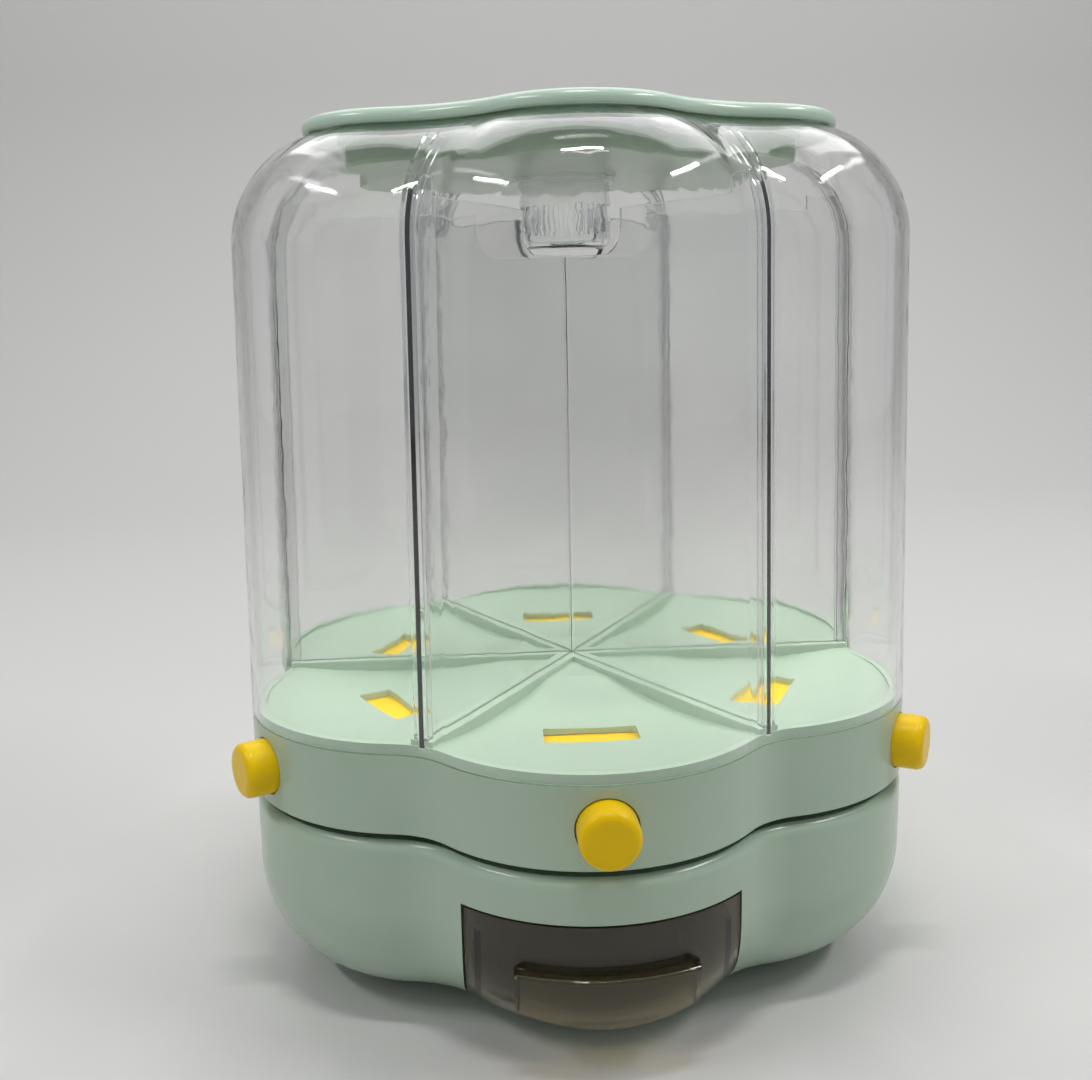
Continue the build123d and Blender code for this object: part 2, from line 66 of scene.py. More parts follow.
class Slot(Enum):
    """Material slots of the record."""

    MINT = "mint_plastic"
    CLEAR = "clear_plastic"
    SMOKE = "smoke_plastic"
    YELLOW = "yellow_plastic"
    WHITE = "white_plastic"
    SEAL = "seal_rubber"
    FOOT = "foot_rubber"
    STEEL = "bright_steel"
    SPRING = "spring_steel"


class Body(Enum):
    """Moving body of the CAD model that the new pieces ride on."""

    ROTOR = "rotor"


class NodeSheet:
    """Short calls for laying out one node tree."""

    MIX_SHARE = 0
    MIX_FIRST = 6
    MIX_SECOND = 7
    MIX_RESULT = 2

    def __init__(self, tree: bpy.types.NodeTree) -> None:
        """Keep the tree that nodes are added to."""
        self.tree = tree

    def add(self, kind: str, **settings: object) -> bpy.types.Node:
        """Add a node.

        Args:
            kind: Blender's name of the node type.
            **settings: Properties to set on the node.

        Returns:
            The new node.
        """
        node = self.tree.nodes.new(kind)
        for name, value in settings.items():
            setattr(node, name, value)
        return node

    def join(self, source: Socket, target: Socket) -> None:
        """Link an output socket to an input socket."""
        self.tree.links.new(source, target)

    def noise(self, place: Socket, size: float, detail: float) -> Socket:
        """Add a noise pattern.

        Args:
            place: Coordinates that the pattern is read at.
            size: Width of one patch in metres.
            detail: Number of finer layers.

        Returns:
            The pattern's value socket.
        """
        node = self.add("ShaderNodeTexNoise")
        node.inputs["Scale"].default_value = 1.0 / size
        node.inputs["Detail"].default_value = detail
        self.join(place, node.inputs["Vector"])
        return node.outputs["Fac"]

    def remap(self, value: Socket, low: float, high: float, to_low: float = 0.0,
              to_high: float = 1.0) -> Socket:
        """Stretch a value from one range to another, held at the ends.

        Args:
            value: Socket to stretch.
            low: Value that becomes to_low.
            high: Value that becomes to_high.
            to_low: Result at low.
            to_high: Result at high.

        Returns:
            The stretched value socket.
        """
        node = self.add("ShaderNodeMapRange", interpolation_type="SMOOTHSTEP")
        node.inputs["From Min"].default_value = low
        node.inputs["From Max"].default_value = high
        node.inputs["To Min"].default_value = to_low
        node.inputs["To Max"].default_value = to_high
        self.join(value, node.inputs["Value"])
        return node.outputs["Result"]

    def combine(self, operation: str, first: Socket, second: Socket) -> Socket:
        """Work out a sum, product or other simple operation.

        Args:
            operation: Blender's name of the operation.
            first: First value socket.
            second: Second value socket.

        Returns:
            The result socket.
        """
        node = self.add("ShaderNodeMath", operation=operation)
        self.join(first, node.inputs[0])
        self.join(second, node.inputs[1])
        return node.outputs[0]

    def blend(self, share: Socket, first: Socket | Colour, second: Socket | Colour) -> Socket:
        """Mix two colours.

        Args:
            share: How much of the second colour shows.
            first: First colour, as a socket or as red, green and blue.
            second: Second colour, given in the same way.

        Returns:
            The mixed colour socket.
        """
        node = self.add("ShaderNodeMix", data_type="RGBA")
        self.join(share, node.inputs[self.MIX_SHARE])
        for place, colour in ((self.MIX_FIRST, first), (self.MIX_SECOND, second)):
            if isinstance(colour, tuple):
                node.inputs[place].default_value = (*colour, 1.0)
            else:
                self.join(colour, node.inputs[place])
        return node.outputs[self.MIX_RESULT]

    def use(self, group: bpy.types.NodeTree, **values: float | Colour) -> bpy.types.Node:
        """Add a shared group.

        Args:
            group: The group.
            **values: Constants for its inputs, by name with underscores for spaces.

        Returns:
            The group's node.
        """
        node = self.add("ShaderNodeGroup", node_tree=group)
        for name, value in values.items():
            constant = (*value, 1.0) if isinstance(value, tuple) else value
            node.inputs[name.replace("_", " ")].default_value = constant
        return node

    def normal(self, height: Socket) -> Socket:
        """Turn a height in metres into a normal.

        Args:
            height: The height socket.

        Returns:
            The normal socket.
        """
        node = self.add("ShaderNodeBump")
        node.inputs["Distance"].default_value = 1.0
        self.join(height, node.inputs["Height"])
        return node.outputs["Normal"]


class SurfaceEffects:
    """Shader groups that several finishes share, each built once.

    Patch sizes are metres. A range holds the pattern's values where an effect starts and where it is full.
    """

    FINE_PATCH = 0.0009
    WAVE_PATCH = 0.009
    TONE_PATCH = 0.07
    TONE_RANGE = (0.32, 0.68)
    SMEAR_PATCH = 0.05
    SMEAR_RANGE = (0.25, 0.85)
    RUB_PATCH = 0.0012
    RUB_RANGE = (0.70, 0.88)
    RUB_TURN = (0.4, 0.7, 0.5)
    RUB_STRETCH = (1.0, 0.06, 1.0)
    RUB_SHARE = 0.4
    SPECK_PATCH = 0.0016
    SPECK_RANGE = (0.70, 0.85)
    HAZE_PATCH = 0.03
    HAZE_RANGE = (0.4, 0.75)
    HAZE_SHARE = 0.35
    UPWARD_RANGE = (0.2, 1.0)
    SIDE_DUST = 0.25

    def __init__(self) -> None:
        """Build every group."""
        self.grain = self._moulded_grain()
        self.tone = self._uneven_tone()
        self.marks = self._handling_marks()
        self.dust = self._settled_dust()

    @staticmethod
    def _group(name: str, inputs: dict[str, str],
               outputs: dict[str, str]) -> tuple[NodeSheet, bpy.types.Node, bpy.types.Node]:
        """Start a group.

        Args:
            name: Name of the group.
            inputs: Socket types of the inputs, by name.
            outputs: Socket types of the outputs, by name.

        Returns:
            The sheet to lay nodes on, the group's input node and its output node.
        """
        tree = bpy.data.node_groups.new(name, "ShaderNodeTree")
        for side, sockets in (("INPUT", inputs), ("OUTPUT", outputs)):
            for socket, kind in sockets.items():
                tree.interface.new_socket(socket, in_out=side, socket_type=kind)
        sheet = NodeSheet(tree)
        return sheet, sheet.add("NodeGroupInput"), sheet.add("NodeGroupOutput")

    def _moulded_grain(self) -> bpy.types.NodeTree:
        """Height of a moulded skin: a fine grain on a slow wave left by the tool.

        Returns:
            The group.
        """
        sheet, given, made = self._group(
            "moulded_grain", {"Fine Depth": "NodeSocketFloat", "Wave Depth": "NodeSocketFloat"},
            {"Height": "NodeSocketFloat"})
        place = sheet.add("ShaderNodeTexCoord").outputs["Object"]
        fine = sheet.noise(place, self.FINE_PATCH, detail=1.0)
        fine = sheet.combine("MULTIPLY", fine, given.outputs["Fine Depth"])
        wave = sheet.noise(place, self.WAVE_PATCH, detail=1.0)
        wave = sheet.combine("MULTIPLY", wave, given.outputs["Wave Depth"])
        sheet.join(sheet.combine("ADD", fine, wave), made.inputs["Height"])
        return sheet.tree

    def _uneven_tone(self) -> bpy.types.NodeTree:
        """Colour of a moulding, drifting slowly between two tones as the melt flowed.

        Returns:
            The group.
        """
        sheet, given, made = self._group(
            "uneven_tone", {"Colour": "NodeSocketColor", "Shade": "NodeSocketColor"},
            {"Colour": "NodeSocketColor"})
        place = sheet.add("ShaderNodeTexCoord").outputs["Object"]
        slow = sheet.remap(sheet.noise(place, self.TONE_PATCH, detail=3.0), *self.TONE_RANGE)
        sheet.join(sheet.blend(slow, given.outputs["Colour"], given.outputs["Shade"]), made.inputs["Colour"])
        return sheet.tree

    def _handling_marks(self) -> bpy.types.NodeTree:
        """Mask of finger smears and hairline rubs.

        Returns:
            The group.
        """
        sheet, given, made = self._group(
            "handling_marks", {"Amount": "NodeSocketFloat"}, {"Mask": "NodeSocketFloat"})
        place = sheet.add("ShaderNodeTexCoord").outputs["Object"]
        smears = sheet.remap(sheet.noise(place, self.SMEAR_PATCH, detail=2.0), *self.SMEAR_RANGE)
        turn = sheet.add("ShaderNodeMapping")
        turn.inputs["Rotation"].default_value = self.RUB_TURN
        turn.inputs["Scale"].default_value = self.RUB_STRETCH
        sheet.join(place, turn.inputs["Vector"])
        streaks = sheet.noise(turn.outputs["Vector"], self.RUB_PATCH, detail=1.0)
        rubs = sheet.remap(streaks, *self.RUB_RANGE, 0.0, self.RUB_SHARE)
        both = sheet.combine("MAXIMUM", smears, rubs)
        sheet.join(sheet.combine("MULTIPLY", both, given.outputs["Amount"]), made.inputs["Mask"])
        return sheet.tree

    def _settled_dust(self) -> bpy.types.NodeTree:
        """Mask of fine dust, thin all over and thicker on faces that look up.

        Returns:
            The group.
        """
        sheet, given, made = self._group(
            "settled_dust", {"Amount": "NodeSocketFloat"}, {"Mask": "NodeSocketFloat"})
        coordinates = sheet.add("ShaderNodeTexCoord")
        split = sheet.add("ShaderNodeSeparateXYZ")
        sheet.join(coordinates.outputs["Normal"], split.inputs["Vector"])
        place = coordinates.outputs["Object"]
        upward = sheet.remap(split.outputs["Z"], *self.UPWARD_RANGE, self.SIDE_DUST, 1.0)
        specks = sheet.remap(sheet.noise(place, self.SPECK_PATCH, detail=2.0), *self.SPECK_RANGE)
        haze = sheet.noise(place, self.HAZE_PATCH, detail=3.0)
        haze = sheet.remap(haze, *self.HAZE_RANGE, 0.0, self.HAZE_SHARE)
        both = sheet.combine("MULTIPLY", sheet.combine("MAXIMUM", specks, haze), upward)
        sheet.join(sheet.combine("MULTIPLY", both, given.outputs["Amount"]), made.inputs["Mask"])
        return sheet.tree


@dataclass(frozen=True)
class SolidFinish:
    """Finish of an opaque piece: moulded plastic, rubber or metal."""

    slot: Slot
    colour: Colour
    shade: Colour
    roughness: float
    marked_roughness: float
    fine_depth: float = 0.00001
    wave_depth: float = 0.00005
    dust: float = 0.08
    metallic: float = 0.0
    scatter: float = 0.0
    scatter_reach: float = 0.003
    scatter_colour: Colour = (0.6, 1.0, 0.7)
    shine: float = 0.5
    dust_colour: Colour = (0.62, 0.61, 0.58)
    variant: str = ""

    def build(self, effects: SurfaceEffects) -> bpy.types.Material:
        """Lay out the material.

        Args:
            effects: The shared shader groups.

        Returns:
            The material.
        """
        material = bpy.data.materials.new(self.slot.value + self.variant)
        material.use_nodes = True
        sheet = NodeSheet(material.node_tree)
        skin = material.node_tree.nodes["Principled BSDF"]
        skin.inputs["Metallic"].default_value = self.metallic
        skin.inputs["Specular IOR Level"].default_value = self.shine
        skin.inputs["Subsurface Weight"].default_value = self.scatter
        skin.inputs["Subsurface Radius"].default_value = self.scatter_colour
        skin.inputs["Subsurface Scale"].default_value = self.scatter_reach
        tone = sheet.use(effects.tone, Colour=self.colour, Shade=self.shade)
        dust = sheet.use(effects.dust, Amount=self.dust)
        marks = sheet.use(effects.marks, Amount=1.0)
        grain = sheet.use(effects.grain, Fine_Depth=self.fine_depth, Wave_Depth=self.wave_depth)
        sheet.join(sheet.blend(dust.outputs["Mask"], tone.outputs["Colour"], self.dust_colour),
                   skin.inputs["Base Color"])
        sheet.join(sheet.remap(marks.outputs["Mask"], 0.0, 1.0, self.roughness, self.marked_roughness),
                   skin.inputs["Roughness"])
        sheet.join(sheet.normal(grain.outputs["Height"]), skin.inputs["Normal"])
        return material


@dataclass(frozen=True)
class ClearFinish:
    """Finish of a see-through moulding."""

    slot: Slot
    tint: Colour
    smear_tint: Colour
    lamp_tint: Colour
    roughness: float
    marked_roughness: float
    clearness: float = 1.0
    refraction: float = 1.49
    wave_depth: float = 0.00004

    def build(self, effects: SurfaceEffects) -> bpy.types.Material:
        """Lay out the material, with lamps let through so that what is inside is lit.

        Args:
            effects: The shared shader groups.

        Returns:
            The material.
        """
        material = bpy.data.materials.new(self.slot.value)
        material.use_nodes = True
        sheet = NodeSheet(material.node_tree)
        skin = material.node_tree.nodes["Principled BSDF"]
        skin.inputs["Transmission Weight"].default_value = self.clearness
        skin.inputs["IOR"].default_value = self.refraction
        marks = sheet.use(effects.marks, Amount=1.0)
        grain = sheet.use(effects.grain, Fine_Depth=0.0, Wave_Depth=self.wave_depth)
        sheet.join(sheet.blend(marks.outputs["Mask"], self.tint, self.smear_tint), skin.inputs["Base Color"])
        sheet.join(sheet.remap(marks.outputs["Mask"], 0.0, 1.0, self.roughness, self.marked_roughness),
                   skin.inputs["Roughness"])
        sheet.join(sheet.normal(grain.outputs["Height"]), skin.inputs["Normal"])
        through = sheet.add("ShaderNodeBsdfTransparent")
        through.inputs["Color"].default_value = (*self.lamp_tint, 1.0)
        path = sheet.add("ShaderNodeLightPath")
        mixed = sheet.add("ShaderNodeMixShader")
        sheet.join(path.outputs["Is Shadow Ray"], mixed.inputs[0])
        sheet.join(skin.outputs[0], mixed.inputs[1])
        sheet.join(through.outputs[0], mixed.inputs[2])
        sheet.join(mixed.outputs[0], material.node_tree.nodes["Material Output"].inputs["Surface"])
        return material


class Finishes:
    """Every finish of the dispenser, by material slot, and by node for pieces with one of their own."""

    RECIPES: tuple[SolidFinish | ClearFinish, ...] = (
        SolidFinish(Slot.MINT, (0.445, 0.567, 0.442), (0.425, 0.547, 0.422), 0.19, 0.27, scatter=0.05),
        SolidFinish(Slot.YELLOW, (0.95, 0.645, 0.0), (0.90, 0.575, 0.0), 0.26, 0.36, scatter=0.05, shine=0.2),
        SolidFinish(Slot.WHITE, (0.80, 0.80, 0.78), (0.74, 0.74, 0.72), 0.45, 0.55),
        SolidFinish(Slot.SEAL, (0.70, 0.74, 0.70), (0.62, 0.67, 0.63), 0.55, 0.65),
        SolidFinish(Slot.FOOT, (0.03, 0.03, 0.03), (0.05, 0.05, 0.05), 0.65, 0.75, dust=0.4),
        SolidFinish(Slot.STEEL, (0.62, 0.62, 0.63), (0.52, 0.52, 0.54), 0.22, 0.38, metallic=1.0, dust=0.05),
        SolidFinish(Slot.SPRING, (0.50, 0.50, 0.52), (0.42, 0.42, 0.45), 0.28, 0.42, metallic=1.0, dust=0.05),
        ClearFinish(Slot.CLEAR, (0.980, 0.984, 0.978), (0.95, 0.955, 0.95), (0.95, 0.955, 0.95), 0.02, 0.07),
        ClearFinish(Slot.SMOKE, (0.48, 0.42, 0.255), (0.44, 0.39, 0.235), (0.74, 0.70, 0.60), 0.02, 0.06,
                    clearness=0.97),
    )

    OWN: dict[str, SolidFinish] = {
        # Paler mint of the lid cover: painted light for its lit rim, with a real subsurface glow on top.
        "lid_cover": SolidFinish(
            Slot.MINT, (0.58, 0.73, 0.60), (0.56, 0.71, 0.58), 0.19, 0.27, scatter=0.35, variant="_lid_painted_light"),
        # Deeper, more saturated mint of the lid liner: painted shade for the plug lying in the lid's shadow.
        "lid_liner": SolidFinish(
            Slot.MINT, (0.32, 0.46, 0.29), (0.30, 0.44, 0.27), 0.19, 0.27, scatter=0.05, variant="_liner"),
    }

    def __init__(self) -> None:
        """Build the materials."""
        effects = SurfaceEffects()
        self.materials = {recipe.slot: recipe.build(effects) for recipe in self.RECIPES}
        self.own = {node: recipe.build(effects) for node, recipe in self.OWN.items()}

    def dress(self, piece: bpy.types.Object, slot: Slot) -> None:
        """Give a piece its one material."""
        piece.data.materials.clear()
        piece.data.materials.append(self.materials[slot])

    def dress_own(self, pieces: dict[str, bpy.types.Object]) -> None:
        """Give the lid cover a paler mint, which is painted light for its lit rim on top of a real subsurface
        glow, and the plug under it a deeper mint, which is painted shade.

        Args:
            pieces: The CAD nodes by name.
        """
        for name, material in self.own.items():
            pieces[name].data.materials.clear()
            pieces[name].data.materials.append(material)


class Bench:
    """Steps that every new piece goes through, in object and edit mode."""

    SEED_SIZE = 0.01
    POINT_SIZE = 0.0001
    SHARP_ANGLE = math.radians(40.0)
    ROUNDING_FACES = 2

    @classmethod
    def start(cls, name: str) -> bpy.types.Object:
        """Open a new mesh at the origin, empty and in edit mode.

        Args:
            name: Name of the piece.

        Returns:
            The new object.
        """
        bpy.ops.object.select_all(action="DESELECT")
        bpy.ops.mesh.primitive_plane_add(size=cls.SEED_SIZE)
        piece = bpy.context.object
        piece.name = name
        piece.data.name = name
        bpy.ops.object.mode_set(mode="EDIT")
        bpy.ops.mesh.select_mode(type="VERT")
        bpy.ops.mesh.delete(type="VERT")
        return piece

    @classmethod
    def point(cls, place: Point) -> None:
        """Put down the first point of a new line."""
        bpy.ops.mesh.primitive_circle_add(vertices=3, radius=cls.POINT_SIZE, location=place)
        bpy.ops.mesh.merge(type="CENTER")

    @staticmethod
    def line(offset: Point) -> None:
        """Draw on from the last point by a straight run."""
        bpy.ops.mesh.extrude_region_move(TRANSFORM_OT_translate={"value": offset})

    @staticmethod
    def arc(centre: Point, axis: Point, angle: float, steps: int) -> None:
        """Draw on from the last point round a centre.

        Args:
            centre: Middle of the arc.
            axis: Axis that the arc turns about, by the right hand.
            angle: How far it turns, in radians.
            steps: Number of short runs.
        """
        bpy.ops.mesh.spin(steps=steps, angle=angle, center=centre, axis=tuple(-part for part in axis))

    @staticmethod
    def fill() -> None:
        """Close the drawn line and fill it with one face."""
        bpy.ops.mesh.select_all(action="SELECT")
        bpy.ops.mesh.remove_doubles(threshold=MERGE_DISTANCE)
        bpy.ops.mesh.edge_face_add()

    @staticmethod
    def thicken(offset: Point) -> None:
        """Turn the filled face into a slab that lies evenly about it."""
        bpy.ops.mesh.select_all(action="SELECT")
        bpy.ops.transform.translate(value=tuple(-part / 2 for part in offset))
        bpy.ops.mesh.extrude_region_move(TRANSFORM_OT_translate={"value": offset})

    @staticmethod
    def close() -> None:
        """Turn the faces outwards, leave edit mode and smooth what isn't a sharp edge."""
        bpy.ops.mesh.select_all(action="SELECT")
        bpy.ops.mesh.normals_make_consistent(inside=False)
        bpy.ops.object.mode_set(mode="OBJECT")
        bpy.ops.object.shade_smooth_by_angle(angle=SMOOTH_ANGLE)

    @staticmethod
    def pick(piece: bpy.types.Object) -> None:
        """Make one piece the only selected and active one."""
        bpy.ops.object.select_all(action="DESELECT")
        piece.select_set(True)
        bpy.context.view_layer.objects.active = piece

    @classmethod
    def round_edges(cls, piece: bpy.types.Object, width: float) -> None:
        """Round every sharp edge of a piece.

        Args:
            piece: Piece to round.
            width: How far the rounding reaches from the edge.
        """
        cls.pick(piece)
        bevel = piece.modifiers.new("rounding", "BEVEL")
        bevel.width = width
        bevel.segments = cls.ROUNDING_FACES
        bevel.limit_method = "ANGLE"
        bevel.angle_limit = cls.SHARP_ANGLE
        bevel.harden_normals = False
        bpy.ops.object.modifier_apply(modifier=bevel.name)

    @classmethod
    def turned_copies(cls, piece: bpy.types.Object, count: int, step: float) -> list[bpy.types.Object]:
        """Copy a piece round the turning axis.

        Args:
            piece: Piece to copy; it counts as the first.
            count: Number of pieces in all.
            step: Angle between two of them, in radians.

        Returns:
            All the pieces, the first one included.
        """
        pieces = [piece]
        for _ in range(count - 1):
            cls.pick(pieces[-1])
            bpy.ops.object.duplicate()
            bpy.ops.transform.rotate(value=-step, orient_axis="Z", center_override=(0.0, 0.0, 0.0))
            bpy.ops.object.transform_apply(location=True, rotation=True, scale=True)
            pieces.append(bpy.context.object)
        return pieces

    @classmethod
    def join(cls, pieces: list[bpy.types.Object]) -> bpy.types.Object:
        """Join pieces into the first of them.

        Args:
            pieces: Pieces to join.

        Returns:
            The joined piece.
        """
        cls.pick(pieces[0])
        for piece in pieces[1:]:
            piece.select_set(True)
        bpy.ops.object.join()
        return bpy.context.object

    @classmethod
    def unite(cls, piece: bpy.types.Object, other: bpy.types.Object) -> None:
        """Merge another solid into a piece and drop the other.

        Args:
            piece: Piece to change.
            other: Solid that is merged in.
        """
        cls.pick(piece)
        merge = piece.modifiers.new("merge", "BOOLEAN")
        merge.operation = "UNION"
        merge.object = other
        merge.solver = "EXACT"
        merge.use_self = True
        bpy.ops.object.modifier_apply(modifier=merge.name)
        bpy.data.objects.remove(other, do_unlink=True)

    @classmethod
    def smooth(cls, piece: bpy.types.Object) -> None:
        """Smooth a piece where it has no sharp edge."""
        cls.pick(piece)
        bpy.ops.object.shade_smooth_by_angle(angle=SMOOTH_ANGLE)


@dataclass
class Dividers:
    """Clear vanes that fit the container's wall and shoulder and divide it in six."""

    compartments: int = 6
    valley_reach: float = 0.1210
    wall: float = 0.0025
    draft: float = math.radians(1.2)
    low: float = 0.1050
    rim: float = 0.3173
    shoulder: float = 0.0420
    shoulder_steps: int = 20
    vane_thickness: float = 0.0020
    vane_gap: float = 0.0003
    vane_round: float = 0.0003
    vane_low: float = 0.1078
    vane_top: float = 0.2900
    vane_step: float = 0.0060
    vane_step_reach: float = 0.0975
    basket_cut_radius: float = 0.0370
    basket_cut_low: float = 0.2730
    basket_cut_round: float = 0.0100
    basket_cut_steps: int = 8
    post_radius: float = 0.00215
    post_sides: int = 32
    post_foot: float = 0.0005
    post_rise: float = 0.0006

    @property
    def turn_height(self) -> float:
        """Height of the middle of the shoulder's arc."""
        return self.rim - self.shoulder

    @property
    def turn_inset(self) -> float:
        """Inset of the middle of the shoulder's arc."""
        return (self.turn_height - self.low) * math.tan(self.draft) + self.shoulder / math.cos(self.draft)

    def wall_inset(self, height: float, depth: float) -> float:
        """Inset of the drafted wall at a height.

        Args:
            height: Height on the wall.
            depth: How far inside the outer face.

        Returns:
            The inset from the plan outline.
        """
        return (height - self.low) * math.tan(self.draft) + depth / math.cos(self.draft)

    def shoulder_point(self, depth: float, angle: float) -> tuple[float, float]:
        """Inset and height of a point on the shoulder's arc.

        Args:
            depth: How far inside the outer face.
            angle: Angle above the level, seen from the arc's middle.

        Returns:
            The inset and the height.
        """
        radius = self.shoulder - depth
        return self.turn_inset - radius * math.cos(angle), self.turn_height + radius * math.sin(angle)

    def build(self, finishes: Finishes) -> None:
        """Three clear panels crossed on a slim post, six vanes in all.

        Args:
            finishes: The dispenser's finishes.
        """
        reach = self.valley_reach
        depth = self.wall + self.vane_gap
        high = self.vane_top + self.vane_step
        end = math.asin((high - self.turn_height) / (self.shoulder - depth))
        cut = self.basket_cut_round
        cut_turn = self.basket_cut_low + cut
        cut_axis = (0.0, 1.0, 0.0)
        shoulder_axis = (0.0, -1.0, 0.0)
        piece = Bench.start("divider_vanes")
        foot = self.shoulder_point(depth, self.draft)
        top = self.shoulder_point(depth, end)
        low_reach = reach - self.wall_inset(self.vane_low, depth)
        Bench.point((-low_reach, 0.0, self.vane_low))
        Bench.line((2 * low_reach, 0.0, 0.0))
        Bench.line((reach - foot[0] - low_reach, 0.0, foot[1] - self.vane_low))
        Bench.arc((reach - self.turn_inset, 0.0, self.turn_height), shoulder_axis, end - self.draft,
                  self.shoulder_steps)
        Bench.line((self.vane_step_reach - (reach - top[0]), 0.0, 0.0))
        Bench.line((0.0, 0.0, -self.vane_step))
        Bench.line((self.basket_cut_radius - self.vane_step_reach, 0.0, 0.0))
        Bench.line((0.0, 0.0, cut_turn - self.vane_top))
        Bench.arc((self.basket_cut_radius - cut, 0.0, cut_turn), cut_axis, math.pi / 2, self.basket_cut_steps)
        Bench.line((2 * (cut - self.basket_cut_radius), 0.0, 0.0))
        Bench.arc((cut - self.basket_cut_radius, 0.0, cut_turn), cut_axis, math.pi / 2, self.basket_cut_steps)
        Bench.line((0.0, 0.0, self.vane_top - cut_turn))
        Bench.line((self.basket_cut_radius - self.vane_step_reach, 0.0, 0.0))
        Bench.line((0.0, 0.0, self.vane_step))
        Bench.line((self.vane_step_reach - (reach - top[0]), 0.0, 0.0))
        Bench.arc((self.turn_inset - reach, 0.0, self.turn_height), shoulder_axis, end - self.draft,
                  self.shoulder_steps)
        Bench.fill()
        Bench.thicken((0.0, self.vane_thickness, 0.0))
        Bench.close()
        Bench.round_edges(piece, self.vane_round)
        panels = Bench.turned_copies(piece, self.compartments // 2, 2 * math.pi / self.compartments)
        bpy.ops.object.select_all(action="DESELECT")
        post_low = self.vane_low + self.post_foot
        post_high = self.basket_cut_low + self.post_rise
        bpy.ops.mesh.primitive_cylinder_add(
            vertices=self.post_sides, radius=self.post_radius, depth=post_high - post_low,
            location=(0.0, 0.0, (post_low + post_high) / 2))
        post = bpy.context.object
        bpy.ops.object.transform_apply(location=True)
        Bench.unite(piece, Bench.join([post, *panels[1:]]))
        Bench.smooth(piece)
        finishes.dress(piece, Slot.CLEAR)
        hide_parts("divider_star")
        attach(piece, Body.ROTOR.value)
        LOG.info("built %s with %d faces", piece.name, len(piece.data.polygons))


@dataclass
class ReturnSprings:
    """Coil springs that push the gates shut, built at rest length; their shortening as the buttons are
    pressed is not modelled.
    """

    count: int = 6
    front: float = -math.pi / 2
    seat_reach: float = 0.0940
    length: float = 0.0282
    end_gap: float = 0.0001
    height: float = 0.09055
    coil_radius: float = 0.0040
    wire_radius: float = 0.0005
    wire_sides: int = 10
    turns: int = 6
    turn_steps: int = 28
    travel: float = 0.0100

    def toward(self, index: int) -> Vector:
        """Direction in plan from the axis to a lobe, counted from the front."""
        angle = self.front + 2 * math.pi / self.count * index
        return Vector((math.cos(angle), math.sin(angle), 0.0))

    def coil(self) -> bpy.types.Object:
        """Wind a wire into an open coil on the front lobe's seat.

        Returns:
            The new piece.
        """
        piece = Bench.start("spring_coil_1")
        bpy.ops.mesh.primitive_circle_add(
            vertices=self.wire_sides, radius=self.wire_radius, location=(self.coil_radius, 0.0, 0.0),
            rotation=(math.pi / 2, 0.0, 0.0))
        bpy.ops.object.mode_set(mode="OBJECT")
        Bench.pick(piece)
        winding = piece.modifiers.new("winding", "SCREW")
        winding.axis = "Z"
        winding.angle = 2 * math.pi
        winding.screw_offset = (self.length - 2 * (self.wire_radius + self.end_gap)) / self.turns
        winding.iterations = self.turns
        winding.steps = self.turn_steps
        winding.render_steps = self.turn_steps
        bpy.ops.object.modifier_apply(modifier=winding.name)
        bpy.ops.object.mode_set(mode="EDIT")
        bpy.ops.mesh.select_all(action="SELECT")
        bpy.ops.mesh.remove_doubles(threshold=MERGE_DISTANCE)
        bpy.ops.mesh.fill_holes(sides=self.wire_sides)
        Bench.close()
        reach = self.seat_reach + self.end_gap + self.wire_radius
        piece.rotation_euler = (0.0, math.pi / 2, self.front)
        piece.location = self.toward(0) * reach + Vector((0.0, 0.0, self.height))
        bpy.ops.object.transform_apply(location=True, rotation=True, scale=True)
        return piece

    def build(self, finishes: Finishes) -> None:
        """Put a coil behind each button.

        Args:
            finishes: The dispenser's finishes.
        """
        coils = Bench.turned_copies(self.coil(), self.count, 2 * math.pi / self.count)
        for index, piece in enumerate(coils):
            piece.name = f"spring_coil_{index + 1}"
            piece.data.name = piece.name
            finishes.dress(piece, Slot.SPRING)
            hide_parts(f"return_spring_{index + 1}")
            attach(piece, Body.ROTOR.value)
            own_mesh(piece)
            LOG.info("built %s with %d faces", piece.name, len(piece.data.polygons))


@dataclass(frozen=True)
class Lamp:
    """Softbox that faces the dispenser: its place, the width and height of its face, and its watts."""

    name: str
    place: Point
    size: tuple[float, float]
    power: float

    def build(self, target: Point) -> None:
        """Add the lamp.

        Args:
            target: Point that it faces.
        """
        bpy.ops.object.light_add(type="AREA", location=self.place)
        lamp = bpy.context.object
        lamp.name = self.name
        lamp.data.shape = "RECTANGLE"
        lamp.data.size, lamp.data.size_y = self.size
        lamp.data.energy = self.power
        facing = Vector(target) - Vector(self.place)
        lamp.rotation_euler = facing.to_track_quat("-Z", "Y").to_euler()


